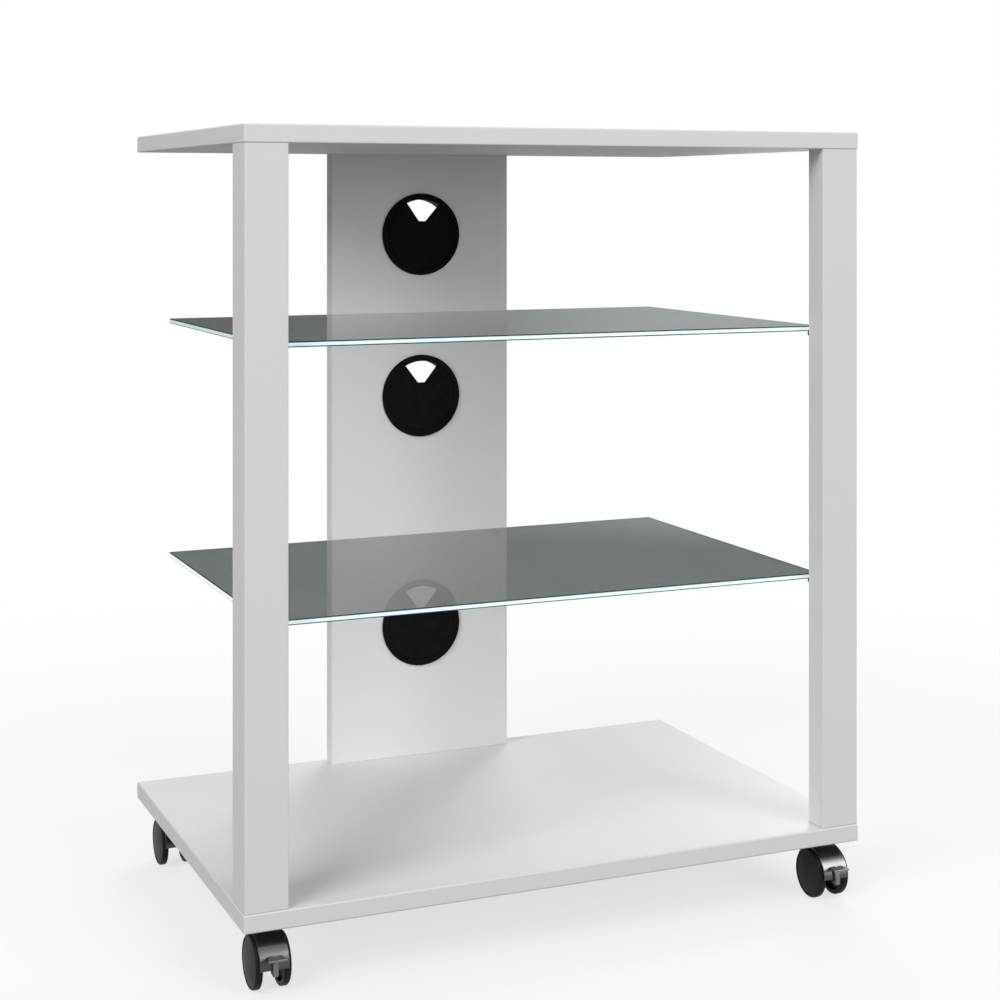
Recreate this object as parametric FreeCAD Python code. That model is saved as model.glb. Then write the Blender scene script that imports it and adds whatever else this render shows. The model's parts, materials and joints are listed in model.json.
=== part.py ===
import FreeCAD, Part
import math
import os

from FreeCAD import Vector

# A rolling media stand: two laminated boards joined by two front posts and a narrow rear panel,
# two glass shelves on pins, three cable grommets and four hooded twin-wheel casters.
# Millimetres. +X to the right, +Y to the rear, +Z up from the floor.
# The origin is on the floor, under the middle of the whole stand's box.

# Boards, posts and rear panel
board_width = 600.0
board_depth = 400.0
board_thick = 16.0
board_edge_round = 1.5
post_side = 38.0
post_height = 640.0
post_inset = 0.8
post_edge_round = 1.0
rebate_width = 12.0
rebate_depth = 13.7
panel_width = 200.0
panel_thick = 16.0
panel_inset = 6.5
panel_edge_round = 0.6

# Glass shelves. The shares are of the posts' height, from the top board down to each shelf's top
glass_thick = 5.0
glass_side_gap = 0.7
glass_front_gap = 0.9
glass_rear_gap = 1.5
glass_corner_round = 2.0
glass_arris = 0.6
shelf_shares = {"upper": 0.2625, "lower": 0.63125}

# Shelf pins and their clear sleeves
pin_radius = 2.0
pin_depth = 8.0
pin_reach = 8.0
pin_round = 0.6
panel_pin_inset = 15.0
sleeve_wall = 0.5
sleeve_length = 7.5
seat_gap = 0.1

# Dowels, cam bolts and cam housings
fit_gap = 0.03
hole_end_gap = 0.5
dowel_radius = 4.0
dowel_in_post = 20.0
dowel_skin = 6.0
dowel_chamfer = 0.8
dowel_inset = 12.5
panel_dowel_inset = 18.0
cam_radius = 7.5
cam_reach = 34.0
cam_skin = 3.4
cam_recess_width = 1.6
cam_recess_length = 8.0
cam_recess_depth = 2.0
panel_cam_inset = 38.0
bolt_radius = 3.0
bolt_skin = 5.0
bolt_neck_radius = 1.8
bolt_neck_length = 3.0
bolt_head_radius = 3.3
bolt_head_length = 3.0
bolt_clearance = 0.6

# Cable grommets. The drops are from the underside of the board or shelf above each
grommet_hole_radius = 40.0
grommet_flange_overlap = 3.5
grommet_flange_thick = 2.5
grommet_flange_round = 1.0
grommet_tube_gap = 0.2
grommet_tube_wall = 2.8
grommet_web_thick = 2.0
grommet_web_margin = 2.5
grommet_drops = {"upper": 85.0, "middle": 84.0, "lower": 92.0}
cap_turns = {"upper": 3.0, "middle": 0.0, "lower": 0.0}
cap_thick = 1.8
cap_recess = 0.2
cap_edge_gap = 0.3
cap_back_gap = 0.2
outlet_flat_height = 14.1
outlet_flat_half = 3.9
outlet_half_angle = 38.0
boss_radius = 4.0
boss_head_radius = 4.8
boss_head_length = 1.4
boss_end_gap = 0.3

# Casters: wheels, axle and body
running_gap = 0.05
wheel_radius = 22.5
wheel_inner_x = 9.4
wheel_width = 6.3
wheel_edge_round = 2.0
wheel_inner_round = 0.9
wheel_dome = 1.0
wheel_face_land = 0.6
wheel_face_step = 0.4
wheel_disc_thick = 3.2
wheel_rim_wall = 4.0
wheel_hub_radius = 4.5
wheel_hub_gap = 1.0
axle_radius = 2.5
axle_in_disc = 1.0
axle_end_gap = 0.2
trail = 11.5
hood_gap = 0.8
hood_wall = 1.5
hood_half = 12.8
hood_rear_angle = 150.0
hood_edge_round = 0.5
web_half = 6.5
web_hub_radius = 7.5
neck_height = 5.1
neck_round = 0.8
socket_radius = 7.0
socket_end_gap = 1.0

# Casters: stem, its clip and its threaded insert
stem_radius = 4.0
stem_length = 21.5
stem_flange_radius = 8.0
stem_flange_thick = 2.0
thrust_gap = 0.1
stem_in_board = 12.0
clip_drop = 12.0
clip_thick = 1.2
clip_groove_depth = 0.8
clip_outer_gap = 0.1
clip_side_gap = 0.1
clip_opening = 3.0
insert_radius = 6.0
insert_skin = 3.0
caster_side_inset = 26.0
caster_end_inset = 34.0

# Front casters: brake lever and its pin
lever_half = 2.2
lever_slot_gap = 0.6
lever_pivot_forward = 15.5
lever_pivot_up = 3.0
lever_pin_radius = 1.5
lever_eye_wall = 1.7
lever_travel = 8.0
leg_gap = 0.8
leg_thick = 2.4
leg_low_angle = -8.0
leg_high_angle = 26.0
arm_thick = 2.2
arm_knee_forward = 21.0
arm_knee_up = -2.6
pad_radius = 1.5
pad_angle = 36.0
pad_rest_gap = 1.4
pad_end_gap = 0.5
pad_slot_gap = 0.5
tab_reach = 35.0
tab_half = 8.4
tab_rear_half = 5.8
tab_thick = 1.8
tab_top = 12.0
tab_end_forward = 24.5
tab_hood_gap = 0.5
tab_edge_round = 0.5

# Heights that follow
hood_inner = wheel_radius + hood_gap
hood_outer = hood_inner + hood_wall
socket_top = wheel_radius + hood_outer + neck_height
base_bottom = socket_top + thrust_gap + stem_flange_thick
base_top = base_bottom + board_thick
top_bottom = base_top + post_height
glass_tops = {name: top_bottom - share * post_height for name, share in shelf_shares.items()}
grommet_ceilings = {
    "upper": top_bottom,
    "middle": glass_tops["upper"] - glass_thick,
    "lower": glass_tops["lower"] - glass_thick,
}

# Places across and along the stand that follow
lever_overhang = max(0.0, tab_reach + trail - caster_end_inset)
front_y = (lever_overhang - board_depth) / 2
rear_y = front_y + board_depth
side_x = board_width / 2
post_outer_x = side_x - post_inset
post_inner_x = post_outer_x - post_side
post_front_y = front_y + post_inset
post_rear_y = post_front_y + post_side
rebate_x = post_inner_x + rebate_width
rebate_y = post_rear_y - rebate_depth
panel_rear_y = rear_y - panel_inset
panel_front_y = panel_rear_y - panel_thick
panel_side_x = panel_width / 2
glass_side_x = rebate_x - glass_side_gap
glass_front_y = rebate_y + glass_front_gap
glass_rear_y = panel_front_y - glass_rear_gap
pin_drop = glass_thick + seat_gap + sleeve_wall + pin_radius

# Joinery sizes that follow
dowel_in_board = board_thick - dowel_skin
cam_length = panel_thick - cam_skin
bolt_inset = panel_thick / 2
bolt_in_board = board_thick - bolt_skin
insert_length = board_thick - insert_skin

# Wheel, brake and grommet sizes that follow
rim_x = wheel_inner_x + wheel_width
disc_x = rim_x - wheel_disc_thick
cup_radius = wheel_radius - wheel_rim_wall
hub_x = web_half + wheel_hub_gap
bore_end_x = disc_x + axle_in_disc
clip_inner = stem_radius - clip_groove_depth + running_gap
clip_outer = stem_radius + clip_groove_depth
lever_eye_radius = lever_pin_radius + lever_eye_wall
pad_distance = cup_radius - pad_radius - pad_rest_gap
leg_inner = hood_outer + leg_gap
tube_outer = grommet_hole_radius - grommet_tube_gap
tube_inner = tube_outer - grommet_tube_wall
cap_radius = tube_inner - cap_edge_gap
cap_front_y = panel_front_y - grommet_flange_thick + cap_recess
web_front_y = cap_front_y + cap_thick + cap_back_gap
web_rear_y = web_front_y + grommet_web_thick

# Four casters, as the side and the end of the stand that each is at, and all heading forwards
casters = {"front_left": (-1, -1), "front_right": (1, -1), "rear_left": (-1, 1), "rear_right": (1, 1)}
braked = ["front_left", "front_right"]


def block(x, y, z):
    """A box between two values on each axis, given in either order."""
    low = Vector(min(x), min(y), min(z))
    return Part.makeBox(max(x) - low.x, max(y) - low.y, max(z) - low.z, low)


def rod(radius, start, end):
    """A cylinder from one point to another."""
    return Part.makeCylinder(radius, (end - start).Length, start, end - start)


def joined(shapes):
    """One solid made of several that meet."""
    return shapes[0].fuse(shapes[1:]).removeSplitter()


def upright_edges(shape):
    """The straight edges that run along Z."""
    return [e for e in shape.Edges if e.BoundBox.XLength < 0.01 and e.BoundBox.YLength < 0.01]


# Boards, posts and panel


def post_dowel_places(side):
    """The two dowels at each end of a post, side by side in its front half."""
    y = post_front_y + dowel_inset
    return [(side * (post_outer_x - dowel_inset), y), (side * (post_inner_x + dowel_inset), y)]


def post_bolt_place(side):
    """The cam bolt at each end of a post, in the part beside the rebate."""
    return side * (post_outer_x + rebate_x) / 2, post_rear_y - bolt_inset


def panel_dowel_places():
    """The two dowels at each end of the rear panel, near its sides."""
    y = (panel_front_y + panel_rear_y) / 2
    return [(side * (panel_side_x - panel_dowel_inset), y) for side in (-1, 1)]


def panel_bolt_places():
    """The two cam bolts at each end of the rear panel."""
    y = panel_rear_y - bolt_inset
    return [(side * (panel_side_x - panel_cam_inset), y) for side in (-1, 1)]


def all_dowel_places():
    return post_dowel_places(-1) + post_dowel_places(1) + panel_dowel_places()


def all_bolt_places():
    return [post_bolt_place(-1), post_bolt_place(1)] + panel_bolt_places()


def caster_place(name):
    """Where a caster's swivel axis meets the floor."""
    side, end = casters[name]
    end_y = front_y if end < 0 else rear_y
    return Vector(side * (side_x - caster_side_inset), end_y - end * caster_end_inset, 0)


def joint_holes(joint_z, into_board):
    """Holes for dowels and bolts in a board, from the face at joint_z and into_board upwards or downwards."""
    holes = []
    for x, y in all_dowel_places():
        depth = into_board * (dowel_in_board + hole_end_gap)
        holes.append(rod(dowel_radius + fit_gap, Vector(x, y, joint_z), Vector(x, y, joint_z + depth)))
    for x, y in all_bolt_places():
        depth = into_board * (bolt_in_board + hole_end_gap)
        holes.append(rod(bolt_radius + fit_gap, Vector(x, y, joint_z), Vector(x, y, joint_z + depth)))
    return holes


def plain_board(low_z):
    """A laminated board with softened edges."""
    board = block((-side_x, side_x), (front_y, rear_y), (low_z, low_z + board_thick))
    return board.makeFillet(board_edge_round, board.Edges)


def top_board():
    return plain_board(top_bottom).cut(joint_holes(top_bottom, 1))


def base_board():
    board = plain_board(base_bottom).cut(joint_holes(base_top, -1))
    insert_holes = []
    for name in casters:
        foot = caster_place(name) + Vector(0, 0, base_bottom)
        insert_holes.append(rod(insert_radius + fit_gap, foot, foot + Vector(0, 0, insert_length)))
    return board.cut(insert_holes)


def end_holes(dowel_places, bolt_places, rear_face_y):
    """Dowel, bolt and cam holes at both ends of an upright piece, the cams in its rear face."""
    holes = []
    for joint_z, inwards in ((base_top, 1), (top_bottom, -1)):
        for x, y in dowel_places:
            start = Vector(x, y, joint_z)
            depth = inwards * (dowel_in_post + hole_end_gap)
            holes.append(rod(dowel_radius + fit_gap, start, start + Vector(0, 0, depth)))
        for x, y in bolt_places:
            start = Vector(x, y, joint_z)
            holes.append(rod(bolt_radius + bolt_clearance, start, start + Vector(0, 0, inwards * cam_reach)))
            face = Vector(x, rear_face_y, joint_z + inwards * cam_reach)
            holes.append(rod(cam_radius + fit_gap, face, face - Vector(0, cam_length + hole_end_gap, 0)))
    return holes


def post(side):
    """A front post. The rebate in its inner rear corner takes the corners of the glass."""
    heights = (base_top, top_bottom)
    body = block((side * post_outer_x, side * post_inner_x), (post_front_y, post_rear_y), heights)
    body = body.makeFillet(post_edge_round, upright_edges(body))
    rebate = block((side * rebate_x, side * (post_inner_x - 1)), (rebate_y, post_rear_y + 1), heights)
    holes = end_holes(post_dowel_places(side), [post_bolt_place(side)], post_rear_y)
    for glass_top in glass_tops.values():
        start = post_pin_start(side, glass_top)
        holes.append(rod(pin_radius + fit_gap, start, start + Vector(side * pin_depth, 0, 0)))
    return body.cut([rebate] + holes)


def rear_panel():
    """The narrow upright at the back, with three holes for the cable grommets."""
    body = block((-panel_side_x, panel_side_x), (panel_front_y, panel_rear_y), (base_top, top_bottom))
    body = body.makeFillet(panel_edge_round, upright_edges(body))
    holes = end_holes(panel_dowel_places(), panel_bolt_places(), panel_rear_y)
    for glass_top in glass_tops.values():
        for start in panel_pin_starts(glass_top):
            holes.append(rod(pin_radius + fit_gap, start, start + Vector(0, pin_depth, 0)))
    for name in grommet_drops:
        centre = grommet_centre(name)
        holes.append(rod(grommet_hole_radius, centre, centre + Vector(0, panel_thick, 0)))
    return body.cut(holes)


# Glass shelves and what carries them


def glass_shelf(name):
    """A float glass plate with ground arrises and slightly rounded corners."""
    top = glass_tops[name]
    plate = block((-glass_side_x, glass_side_x), (glass_front_y, glass_rear_y), (top - glass_thick, top))
    plate = plate.makeFillet(glass_corner_round, upright_edges(plate))
    arrises = [e for e in plate.Edges if e.BoundBox.ZLength < 0.01]
    return plate.makeChamfer(glass_arris, arrises)


def post_pin_start(side, glass_top):
    """Where a post's pin comes out of the rebate's side wall."""
    return Vector(side * rebate_x, post_rear_y - rebate_depth / 2, glass_top - pin_drop)


def panel_pin_starts(glass_top):
    """Where the rear panel's two pins come out of its front face."""
    x = panel_side_x - panel_pin_inset
    return [Vector(side * x, panel_front_y, glass_top - pin_drop) for side in (-1, 1)]


def pin_lines(name):
    """Each pin of a shelf, as its place on the wood and its direction out of it."""
    top = glass_tops[name]
    lines = [(post_pin_start(side, top), Vector(-side, 0, 0)) for side in (-1, 1)]
    return lines + [(start, Vector(0, -1, 0)) for start in panel_pin_starts(top)]


def shelf_pins(name):
    """Four plain steel pins with rounded ends."""
    pins = []
    for start, out in pin_lines(name):
        pin = rod(pin_radius, start - out * pin_depth, start + out * pin_reach)
        rims = [e for e in pin.Edges if len(e.Vertexes) == 1]
        pins.append(pin.makeFillet(pin_round, rims))
    return Part.makeCompound(pins)


def pin_sleeves(name):
    """Clear tubes on the pins, which keep the steel off the glass."""
    sleeves = []
    for start, out in pin_lines(name):
        first = start + out * seat_gap
        outer = rod(pin_radius + sleeve_wall, first, first + out * sleeve_length)
        inner = rod(pin_radius + fit_gap, first, first + out * sleeve_length)
        sleeves.append(outer.cut(inner))
    return Part.makeCompound(sleeves)


# Dowels and cam fittings


def dowels():
    """Beech dowels at both ends of the posts and of the rear panel."""
    pegs = []
    for joint_z, into_board in ((base_top, -1), (top_bottom, 1)):
        for x, y in all_dowel_places():
            start = Vector(x, y, joint_z - into_board * dowel_in_post)
            end = Vector(x, y, joint_z + into_board * dowel_in_board)
            peg = rod(dowel_radius, start, end)
            rims = [e for e in peg.Edges if len(e.Vertexes) == 1]
            pegs.append(peg.makeChamfer(dowel_chamfer, rims))
    return Part.makeCompound(pegs)


def cam_bolt(x, y, joint_z, into_board):
    """A bolt screwed into a board, with the neck and head that the cam grips."""
    head_end = cam_reach + bolt_head_length / 2
    neck_end = head_end - bolt_head_length
    shank_end = neck_end - bolt_neck_length

    def at(depth):
        return Vector(x, y, joint_z - into_board * depth)

    shank = rod(bolt_radius, at(-bolt_in_board), at(shank_end))
    neck = rod(bolt_neck_radius, at(shank_end), at(neck_end))
    head = rod(bolt_head_radius, at(neck_end), at(head_end))
    return joined([shank, neck, head])


def cam_bolts():
    bolts = []
    for joint_z, into_board in ((base_top, -1), (top_bottom, 1)):
        bolts += [cam_bolt(x, y, joint_z, into_board) for x, y in all_bolt_places()]
    return Part.makeCompound(bolts)


def cam_housing(x, bolt_y, joint_z, inwards):
    """A round cam with a slot for the bolt's head and a cross recess in its face."""
    face_y = bolt_y + bolt_inset
    centre = Vector(x, face_y, joint_z + inwards * cam_reach)
    cam = rod(cam_radius, centre, centre - Vector(0, cam_length, 0))
    half_slot = bolt_head_radius + bolt_clearance / 2
    slot_inner_z = centre.z + inwards * (bolt_head_length / 2 + bolt_clearance)
    slot_z = (slot_inner_z, centre.z - inwards * 2 * cam_radius)
    slot = block((x - half_slot, x + half_slot), (bolt_y - half_slot, bolt_y + half_slot), slot_z)
    long_half = cam_recess_length / 2
    short_half = cam_recess_width / 2
    recess_y = (face_y - cam_recess_depth, face_y)
    cross = [
        block((x - half_x, x + half_x), recess_y, (centre.z - half_z, centre.z + half_z))
        for half_x, half_z in ((long_half, short_half), (short_half, long_half))
    ]
    return cam.cut([slot] + cross)


def cam_housings():
    cams = []
    for joint_z, inwards in ((base_top, 1), (top_bottom, -1)):
        cams += [cam_housing(x, y, joint_z, inwards) for x, y in all_bolt_places()]
    return Part.makeCompound(cams)


# Cable grommets


def grommet_centre(name):
    """The middle of a grommet, on the panel's front face."""
    return Vector(0, panel_front_y, grommet_ceilings[name] - grommet_drops[name])


def outlet_prism(margin, y):
    """The wedge-shaped cable outlet above a grommet's centre, with a flat bottom, grown by a margin."""
    slope = math.tan(math.radians(outlet_half_angle))
    shift = margin / math.cos(math.radians(outlet_half_angle))
    low = outlet_flat_height - margin
    high = grommet_hole_radius
    low_half = outlet_flat_half + shift - margin * slope
    high_half = low_half + (high - low) * slope
    corners = [(-low_half, low), (low_half, low), (high_half, high), (-high_half, high)]
    wire = Part.makePolygon([Vector(x, min(y), z) for x, z in corners + corners[:1]])
    return Part.Face(wire).extrude(Vector(0, max(y) - min(y), 0))


def grommet_sleeve(name):
    """The fixed liner: a flange on the panel's face, a tube through it and a web behind the cap."""
    flange_y = (-grommet_flange_thick, 0)
    web_y = (web_front_y - panel_front_y, web_rear_y - panel_front_y)

    def disc(radius, y):
        return rod(radius, Vector(0, y[0], 0), Vector(0, y[1], 0))

    flange = disc(grommet_hole_radius + grommet_flange_overlap, flange_y)
    rims = [e for e in flange.Edges if len(e.Vertexes) == 1]
    front_rims = [e for e in rims if e.BoundBox.YMax < -grommet_flange_thick / 2]
    flange = flange.makeFillet(grommet_flange_round, front_rims)
    ring = joined([flange, disc(tube_outer, (0, panel_thick))])
    ring = ring.cut(disc(tube_inner, (-grommet_flange_thick, panel_thick)))
    web = disc(tube_inner + grommet_tube_wall / 2, web_y)
    outlet = outlet_prism(grommet_web_margin, web_y).common(disc(tube_inner, web_y))
    web = web.cut([outlet, disc(boss_radius + running_gap, web_y)])
    sleeve = joined([ring, web])
    sleeve.translate(grommet_centre(name))
    return sleeve


def grommet_cap(name):
    """The turning lid: a disc with the cable outlet cut from its edge and a snap boss behind it."""
    face_y = (cap_front_y - panel_front_y, cap_front_y + cap_thick - panel_front_y)
    head_y = web_rear_y + boss_end_gap - panel_front_y
    disc = rod(cap_radius, Vector(0, face_y[0], 0), Vector(0, face_y[1], 0))
    disc = disc.cut(outlet_prism(0, face_y))
    boss = rod(boss_radius, Vector(0, face_y[1], 0), Vector(0, head_y, 0))
    head = rod(boss_head_radius, Vector(0, head_y, 0), Vector(0, head_y + boss_head_length, 0))
    cap = joined([disc, boss, head])
    cap.rotate(Vector(0, 0, 0), Vector(0, 1, 0), cap_turns[name])
    cap.translate(grommet_centre(name))
    return cap


# Casters, each built about its swivel axis with the axle in front of it, then moved to its place


def side_point(forward, up, x=0.0):
    """A point measured forwards and upwards from the axle."""
    return Vector(x, -trail - forward, wheel_radius + up)


def side_polar(radius, degrees, x=0.0):
    """A point at a radius from the axle, at an angle above straight ahead."""
    angle = math.radians(degrees)
    return side_point(radius * math.cos(angle), radius * math.sin(angle), x)


def side_arc(radius, start, end, x):
    middle = (start + end) / 2
    points = [side_polar(radius, angle, x) for angle in (start, middle, end)]
    return Part.Arc(*points).toShape()


def side_slab(edges, half_width):
    """A slab across the caster, from an outline drawn on its left side."""
    return Part.Face(Part.Wire(edges)).extrude(Vector(2 * half_width, 0, 0))


def ring_segment(inner, outer, start, end, half_width):
    """A curved wall about the axle, from one angle to another."""
    x = -half_width
    edges = [
        side_arc(outer, start, end, x),
        Part.makeLine(side_polar(outer, end, x), side_polar(inner, end, x)),
        side_arc(inner, end, start, x),
        Part.makeLine(side_polar(inner, start, x), side_polar(outer, start, x)),
    ]
    return side_slab(edges, half_width)


def pie(radius, start, end, half_width):
    """A slab shaped as a slice of a circle about the axle."""
    x = -half_width
    centre = side_point(0, 0, x)
    edges = [
        Part.makeLine(centre, side_polar(radius, start, x)),
        side_arc(radius, start, end, x),
        Part.makeLine(side_polar(radius, end, x), centre),
    ]
    return side_slab(edges, half_width)


def cross_rod(radius, forward, up, half_length):
    """A cylinder across the caster."""
    return rod(radius, side_point(forward, up, -half_length), side_point(forward, up, half_length))


def bar(first, second, thick, half_width):
    """A flat bar between two points given forwards and upwards, with round ends."""
    along = Vector(second[0] - first[0], second[1] - first[1], 0).normalize()
    off = (-along.y * thick / 2, along.x * thick / 2)
    corners = [
        (first[0] + off[0], first[1] + off[1]),
        (second[0] + off[0], second[1] + off[1]),
        (second[0] - off[0], second[1] - off[1]),
        (first[0] - off[0], first[1] - off[1]),
    ]
    points = [side_point(f, u, -half_width) for f, u in corners + corners[:1]]
    plate = Part.Face(Part.makePolygon(points)).extrude(Vector(2 * half_width, 0, 0))
    ends = [cross_rod(thick / 2, f, u, half_width) for f, u in (first, second)]
    return joined([plate] + ends)


def turned_profile(points, arcs):
    """A solid turned about the axle, from points (x, radius) and the middle points of its curved sides."""
    edges = []
    for i, start in enumerate(points):
        end = points[(i + 1) % len(points)]
        ends = [side_point(0, r, x) for x, r in (start, end)]
        if i in arcs:
            x, r = arcs[i]
            edges.append(Part.Arc(ends[0], side_point(0, r, x), ends[1]).toShape())
        else:
            edges.append(Part.makeLine(ends[0], ends[1]))
    return Part.Face(Part.Wire(edges)).revolve(side_point(0, 0), Vector(1, 0, 0), 360)


def wheel(side):
    """A cup-shaped wheel, open towards the body, with a hub and a domed face inside a raised rim."""
    part_way = 1 - math.sqrt(0.5)
    inner_off = wheel_inner_round * part_way
    outer_off = wheel_edge_round * part_way
    edge_radius = wheel_radius - wheel_edge_round
    step_radius = edge_radius - wheel_face_land
    dome_height = wheel_dome + wheel_face_step
    dome_radius = (step_radius**2 + dome_height**2) / (2 * dome_height)
    half_way = step_radius / 2
    dome_middle = rim_x + wheel_dome - (dome_radius - math.sqrt(dome_radius**2 - half_way**2))
    bore = axle_radius + running_gap
    points = [
        (bore_end_x, 0),
        (bore_end_x, bore),
        (hub_x, bore),
        (hub_x, wheel_hub_radius),
        (disc_x, wheel_hub_radius),
        (disc_x, cup_radius),
        (wheel_inner_x, cup_radius),
        (wheel_inner_x, wheel_radius - wheel_inner_round),
        (wheel_inner_x + wheel_inner_round, wheel_radius),
        (rim_x - wheel_edge_round, wheel_radius),
        (rim_x, edge_radius),
        (rim_x, step_radius),
        (rim_x - wheel_face_step, step_radius),
        (rim_x + wheel_dome, 0),
    ]
    arcs = {
        7: (wheel_inner_x + inner_off, wheel_radius - inner_off),
        9: (rim_x - outer_off, wheel_radius - outer_off),
        12: (dome_middle, half_way),
    }
    right = turned_profile(points, arcs)
    return right if side > 0 else right.mirror(Vector(0, 0, 0), Vector(1, 0, 0))


def axle():
    return cross_rod(axle_radius, 0, 0, bore_end_x - axle_end_gap)


def pad_centres():
    """The brake pads' centre at rest and with the lever pressed, forwards and upwards from the axle."""
    angle = math.radians(pad_angle)
    rest = (pad_distance * math.cos(angle), pad_distance * math.sin(angle))
    turn = math.radians(lever_travel)
    forward = rest[0] - lever_pivot_forward
    up = rest[1] - lever_pivot_up
    pressed = (
        lever_pivot_forward + forward * math.cos(turn) + up * math.sin(turn),
        lever_pivot_up - forward * math.sin(turn) + up * math.cos(turn),
    )
    return rest, pressed


def caster_body(has_brake):
    """Hood, centre web and stem socket in one moulding, with a slot for the brake lever."""
    hood = ring_segment(hood_inner, hood_outer, 0, hood_rear_angle, hood_half)
    outer_rims = [
        e for e in hood.Edges
        if isinstance(e.Curve, Part.Circle) and abs(e.Curve.Radius - hood_outer) < 0.01
    ]
    hood = hood.makeFillet(hood_edge_round, outer_rims)
    web = pie((hood_inner + hood_outer) / 2, 0, hood_rear_angle, web_half)
    hub = cross_rod(web_hub_radius, 0, 0, web_half)
    socket = rod(socket_radius, Vector(0, 0, wheel_radius), Vector(0, 0, socket_top))
    top_rim = [e for e in socket.Edges if len(e.Vertexes) == 1 and e.BoundBox.ZMin > socket_top - 0.01]
    socket = socket.makeFillet(neck_round, top_rim)
    if has_brake:
        web = web.cut(lever_slot())
    body = joined([hood, web, hub, socket])
    groove_top = Vector(0, 0, clip_top() + clip_side_gap)
    groove_low = groove_top - Vector(0, 0, clip_thick + 2 * clip_side_gap)
    bore_low = Vector(0, 0, socket_top + thrust_gap - stem_length - socket_end_gap)
    cuts = [
        rod(stem_radius + running_gap, bore_low, Vector(0, 0, socket_top)),
        rod(clip_outer + clip_outer_gap, groove_low, groove_top),
        cross_rod(axle_radius + fit_gap, 0, 0, web_half),
    ]
    if has_brake:
        rest, pressed = pad_centres()
        reach = math.dist(rest, pressed) / 2 + pad_radius + pad_slot_gap
        cuts.append(cross_rod(reach, (rest[0] + pressed[0]) / 2, (rest[1] + pressed[1]) / 2, web_half))
        cuts.append(cross_rod(lever_pin_radius + fit_gap, lever_pivot_forward, lever_pivot_up, web_half))
    return body.cut(cuts)


def lever_slot():
    """The space between the web's cheeks in which the lever's inner end moves."""
    half = lever_half + lever_slot_gap
    rest, pressed = pad_centres()
    top = max(rest[1], pressed[1]) + pad_radius + 2 * pad_slot_gap
    rear = min(rest[0], pressed[0]) - pad_radius - pad_slot_gap
    low = side_point(hood_inner, -hood_gap)
    high = side_point(rear, top)
    return block((-half, half), (low.y, high.y), (low.z, high.z))


def caster_stem():
    """A steel stem: a threaded end for the board, a flange under it and the swivel pin with its groove."""
    flange_low = socket_top + thrust_gap
    flange = rod(stem_flange_radius, Vector(0, 0, flange_low), Vector(0, 0, base_bottom))
    thread = rod(stem_radius - fit_gap, Vector(0, 0, base_bottom), Vector(0, 0, base_bottom + stem_in_board))
    pin = rod(stem_radius, Vector(0, 0, flange_low - stem_length), Vector(0, 0, flange_low))
    groove_low = Vector(0, 0, clip_top() - clip_thick - clip_side_gap)
    groove_high = Vector(0, 0, clip_top() + clip_side_gap)
    core = rod(stem_radius - clip_groove_depth, groove_low, groove_high)
    groove = rod(stem_radius + 1, groove_low, groove_high).cut(core)
    return joined([flange, thread, pin]).cut(groove)


def clip_top():
    """Height of the clip's upper side."""
    return socket_top + thrust_gap - clip_drop


def stem_clip():
    """The spring clip in the socket that holds the stem by its groove."""
    low = Vector(0, 0, clip_top() - clip_thick)
    high = Vector(0, 0, clip_top())
    ring = rod(clip_outer, low, high).cut(rod(clip_inner, low, high))
    gap = block((-clip_opening / 2, clip_opening / 2), (0, clip_outer + 1), (low.z, high.z))
    return ring.cut(gap)


def threaded_insert():
    low = Vector(0, 0, base_bottom)
    high = Vector(0, 0, base_bottom + insert_length)
    return rod(insert_radius, low, high).cut(rod(stem_radius, low, high))


def tab_plate():
    """The flat tab of the lever: a straight front, narrowing sides and a rear edge bowed towards the hood."""
    top = wheel_radius + tab_top
    rear_middle = math.sqrt(hood_outer**2 - (tab_top - tab_thick) ** 2) + tab_hood_gap

    def at(forward, x):
        return Vector(x, -trail - forward, top - tab_thick)

    front = [at(tab_reach, -tab_half), at(tab_reach, tab_half)]
    corners = front + [at(tab_end_forward, tab_rear_half), at(tab_end_forward, -tab_rear_half)]
    edges = [
        Part.makeLine(corners[0], corners[1]),
        Part.makeLine(corners[1], corners[2]),
        Part.Arc(corners[2], at(rear_middle, 0), corners[3]).toShape(),
        Part.makeLine(corners[3], corners[0]),
    ]
    plate = Part.Face(Part.Wire(edges)).extrude(Vector(0, 0, tab_thick))
    front_corners = [e for e in upright_edges(plate) if e.BoundBox.YMax < -trail - tab_reach + 0.01]
    plate = plate.makeFillet(2 * tab_edge_round, front_corners)
    rims = [e for e in plate.Edges if e.BoundBox.ZLength < 0.01]
    return plate.makeFillet(tab_edge_round, rims)


def brake_lever():
    """Tab, leg round the hood's lower edge, arm to the pivot's eye and cross bar with the brake pads."""
    leg_outer = leg_inner + leg_thick
    leg_middle = (leg_inner + leg_outer) / 2
    pivot = (lever_pivot_forward, lever_pivot_up)
    low = math.radians(leg_low_angle)
    foot = (leg_middle * math.cos(low), leg_middle * math.sin(low))
    knee = (arm_knee_forward, arm_knee_up)
    rest = pad_centres()[0]
    pieces = [
        tab_plate(),
        ring_segment(leg_inner, leg_outer, leg_low_angle, leg_high_angle, lever_half),
        cross_rod(leg_thick / 2, foot[0], foot[1], lever_half),
        bar(foot, knee, arm_thick, lever_half),
        bar(knee, pivot, arm_thick, lever_half),
        cross_rod(lever_eye_radius, pivot[0], pivot[1], lever_half),
        bar(pivot, rest, 2 * pad_radius, lever_half),
        cross_rod(pad_radius, rest[0], rest[1], disc_x - pad_end_gap),
    ]
    return joined(pieces).cut(cross_rod(lever_pin_radius + running_gap, pivot[0], pivot[1], lever_half))


def lever_pin():
    return cross_rod(lever_pin_radius, lever_pivot_forward, lever_pivot_up, web_half)


def at_caster(shape, name):
    """A copy of a caster piece at its place under the stand."""
    moved = shape.copy()
    moved.translate(caster_place(name))
    return moved


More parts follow.
